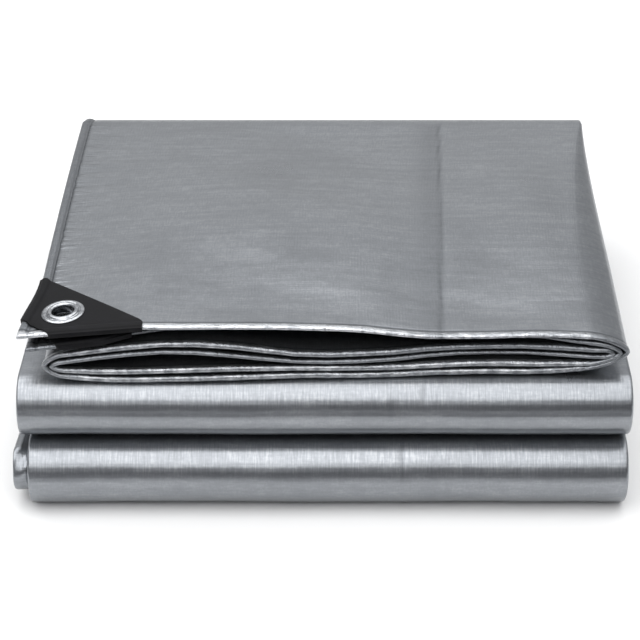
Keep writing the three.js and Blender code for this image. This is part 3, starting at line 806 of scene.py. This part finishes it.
bright, tree = new_material("pressed_aluminium")
place = add_node(tree, "ShaderNodeTexCoord")
dents = add_node(
    tree,
    "ShaderNodeTexNoise",
    {"Vector": place.outputs["Object"], "Scale": 1 / DENT, "Detail": 3.0, "Roughness": 0.5},
)
from_axis = add_node(
    tree, "ShaderNodeVectorMath", {0: place.outputs["Object"], 1: (1, 1, 0)}, operation="MULTIPLY"
)
radius = add_node(tree, "ShaderNodeVectorMath", {0: from_axis.outputs[0]}, operation="LENGTH")
turned_lines = add_node(
    tree,
    "ShaderNodeTexNoise",
    {"W": radius.outputs["Value"], "Scale": 1 / TURNED_LINE, "Detail": 2.0},
    noise_dimensions="1D",
)
shade = add_node(tree, "ShaderNodeValToRGB", {"Fac": dents.outputs["Fac"]})
shade.color_ramp.elements[0].position, shade.color_ramp.elements[0].color = 0.3, linear(ALUMINIUM_DULL)
shade.color_ramp.elements[1].position, shade.color_ramp.elements[1].color = 0.6, linear(ALUMINIUM)
line_bump = add_node(
    tree, "ShaderNodeBump", {"Height": turned_lines.outputs["Fac"], "Strength": 0.25, "Distance": 0.05 * MM}
)
dent_bump = add_node(
    tree,
    "ShaderNodeBump",
    {
        "Height": dents.outputs["Fac"],
        "Strength": 0.3,
        "Distance": 0.15 * MM,
        "Normal": line_bump.outputs["Normal"],
    },
)
pressed = add_node(
    tree,
    "ShaderNodeBsdfPrincipled",
    {
        "Base Color": shade.outputs["Color"],
        "Metallic": 1.0,
        "Roughness": 0.24,
        "Normal": dent_bump.outputs["Normal"],
    },
)
add_node(tree, "ShaderNodeOutputMaterial", {"Surface": pressed.outputs["BSDF"]})

roll_turn = np.linspace(np.pi, 0.12 * np.pi, 12)
roll_middle, roll_half = (HOLE_RADIUS + ROLL_RADIUS) / 2, (ROLL_RADIUS - HOLE_RADIUS) / 2
upper_profile = [  # one side of the ring, from the hole over the roll and out along the washer
    (roll_middle + roll_half * math.cos(a), SEAT + ROLL_LIFT + (ROLL_HIGH - ROLL_LIFT) * math.sin(a))
    for a in roll_turn
]
upper_profile += [
    (ROLL_RADIUS + 0.15, SEAT + 0.35),
    (ROLL_RADIUS + 0.5, SEAT + WASHER_HIGH - 0.2),
    (ROLL_RADIUS + 1.1, SEAT + WASHER_HIGH),
    (WASHER_RADIUS - 0.9, SEAT + WASHER_HIGH - 0.1),
    (WASHER_RADIUS - 0.3, SEAT + WASHER_EDGE),
    (WASHER_RADIUS, SEAT + 0.5 * WASHER_EDGE),
    (WASHER_RADIUS - 0.1, SEAT + 0.02),
    (HOLE_RADIUS + 0.4, SEAT + 0.02),
]
profile = upper_profile + [(r, -z) for r, z in reversed(upper_profile)]
for name, centre, turned in eyelet_places:
    rings = [
        [(r * math.cos(a) * MM, r * math.sin(a) * MM, z * MM) for r, z in profile]
        for a in np.linspace(0, 2 * np.pi, EYELET_SIDES, endpoint=False)
    ]
    count = len(profile)
    faces = []
    for k in range(EYELET_SIDES):
        here, beyond = k * count, (k + 1) % EYELET_SIDES * count
        for m in range(count):
            following = (m + 1) % count
            faces.append((here + m, beyond + m, beyond + following, here + following))
    mesh = bpy.data.meshes.new(f"eyelet_ring_{name}")
    mesh.from_pydata([p for ring in rings for p in ring], [], faces)
    mesh.polygons.foreach_set("use_smooth", [True] * len(faces))
    eyelet = bpy.data.objects.new(f"ring_{name}", mesh)
    bpy.context.scene.collection.objects.link(eyelet)
    eyelet.location = centre * MM
    eyelet.rotation_mode = "QUATERNION"
    eyelet.rotation_quaternion = turned
    mesh.materials.append(bright)
    bpy.context.view_layer.update()
    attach(eyelet, "root")
    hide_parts(f"eyelet_{name}")

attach(cloth, "root")
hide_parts("tarp")

# The studio: a pale paper floor, a wide softbox overhead that reaches over the camera and is brighter to the
# left, a dim wall behind, and dark felt on the camera's side and on a card in front, just out of its view.
FLOOR_PALE, FELT_DARK = "#e8e8e8", "#505054"
floor_mesh = bpy.data.meshes.new("floor")
floor_mesh.from_pydata([(-4, -2.2, 0), (4, -2.2, 0), (4, 5, 0), (-4, 5, 0)], [], [(0, 1, 2, 3)])
paper, tree = new_material("pale_paper")
place = add_node(tree, "ShaderNodeTexCoord").outputs["Object"]
fibres = add_node(tree, "ShaderNodeTexNoise", {"Vector": place, "Scale": 900.0, "Detail": 2.0})
fibre_bump = add_node(
    tree, "ShaderNodeBump", {"Height": fibres.outputs["Fac"], "Strength": 0.1, "Distance": 0.05 * MM}
)
paper_shader = add_node(
    tree,
    "ShaderNodeBsdfPrincipled",
    {
        "Base Color": linear(FLOOR_PALE),
        "Roughness": 0.85,
        "Specular IOR Level": 0.1,
        "Normal": fibre_bump.outputs["Normal"],
    },
)
add_node(tree, "ShaderNodeOutputMaterial", {"Surface": paper_shader.outputs["BSDF"]})
floor_mesh.materials.append(paper)
floor = bpy.data.objects.new("floor", floor_mesh)
bpy.context.scene.collection.objects.link(floor)

felt, tree = new_material("dark_felt")
felt_shader = add_node(tree, "ShaderNodeBsdfPrincipled", {"Base Color": linear(FELT_DARK), "Roughness": 0.95})
add_node(tree, "ShaderNodeOutputMaterial", {"Surface": felt_shader.outputs["BSDF"]})
FLAGS = {  # corners of each dark sheet
    "dark_side": [(-3.0, -2.2, 0.0), (3.0, -2.2, 0.0), (3.0, -2.2, 1.3), (-3.0, -2.2, 1.3)],
    "front_card": [
        (-0.55, -0.62, 0.002),
        (0.55, -0.62, 0.002),
        (0.55, -0.285, 0.002),
        (-0.55, -0.285, 0.002),
    ],
}
flags = []
for name, corners in FLAGS.items():
    flag_mesh = bpy.data.meshes.new(name)
    flag_mesh.from_pydata(corners, [], [(0, 1, 2, 3)])
    flag_mesh.materials.append(felt)
    flags.append(bpy.data.objects.new(name, flag_mesh))
    bpy.context.scene.collection.objects.link(flags[-1])

LIGHTS = [  # place, point it faces, size and brightness of each
    dict(name="softbox", at=(-0.1, -0.43, 1.4), to=(-0.1, -0.43, 0), size=(2.6, 3.04), radiance=1.7),
    dict(name="softbox_edge", at=(-0.65, -0.75, 1.32), to=(-0.65, -0.53, 0), size=(1.9, 3.3), radiance=0.75),
    dict(name="wall", at=(-0.2, 1.9, 1.0), to=(0, 0, 0.1), size=(1.8, 1.2), radiance=0.38),
]
for light in LIGHTS:
    data = bpy.data.lights.new(light["name"], "AREA")
    data.shape, (data.size, data.size_y) = "RECTANGLE", light["size"]
    data.energy = light["radiance"] * math.pi * data.size * data.size_y
    lamp = bpy.data.objects.new(light["name"], data)
    lamp.location = light["at"]
    lamp.rotation_euler = (Vector(light["to"]) - Vector(light["at"])).to_track_quat("-Z", "Y").to_euler()
    bpy.context.scene.collection.objects.link(lamp)

world = bpy.data.worlds.new("pale_room")
world.use_nodes = True
background = world.node_tree.nodes["Background"]
ROOM_PALE, ROOM_LIGHT = "#f4f5f7", 0.5
background.inputs["Color"].default_value = linear(ROOM_PALE)
background.inputs["Strength"].default_value = ROOM_LIGHT
bpy.context.scene.world = world
bpy.context.scene.view_settings.view_transform = "Standard"

# The camera looks down at the packet's front from a little over a metre
CAMERA_AT = (-0.00066, -1.07619, 0.70424)
CAMERA_PITCH = 32.05  # degrees below the horizon
CAMERA_LENS, CAMERA_SENSOR = 116.15, 36.0
camera_data = bpy.data.cameras.new("camera")
camera_data.lens, camera_data.sensor_width = CAMERA_LENS, CAMERA_SENSOR
camera = bpy.data.objects.new("camera", camera_data)
camera.location = CAMERA_AT
camera.rotation_euler = (math.radians(90 - CAMERA_PITCH), 0, 0)
bpy.context.scene.collection.objects.link(camera)
bpy.context.scene.camera = camera
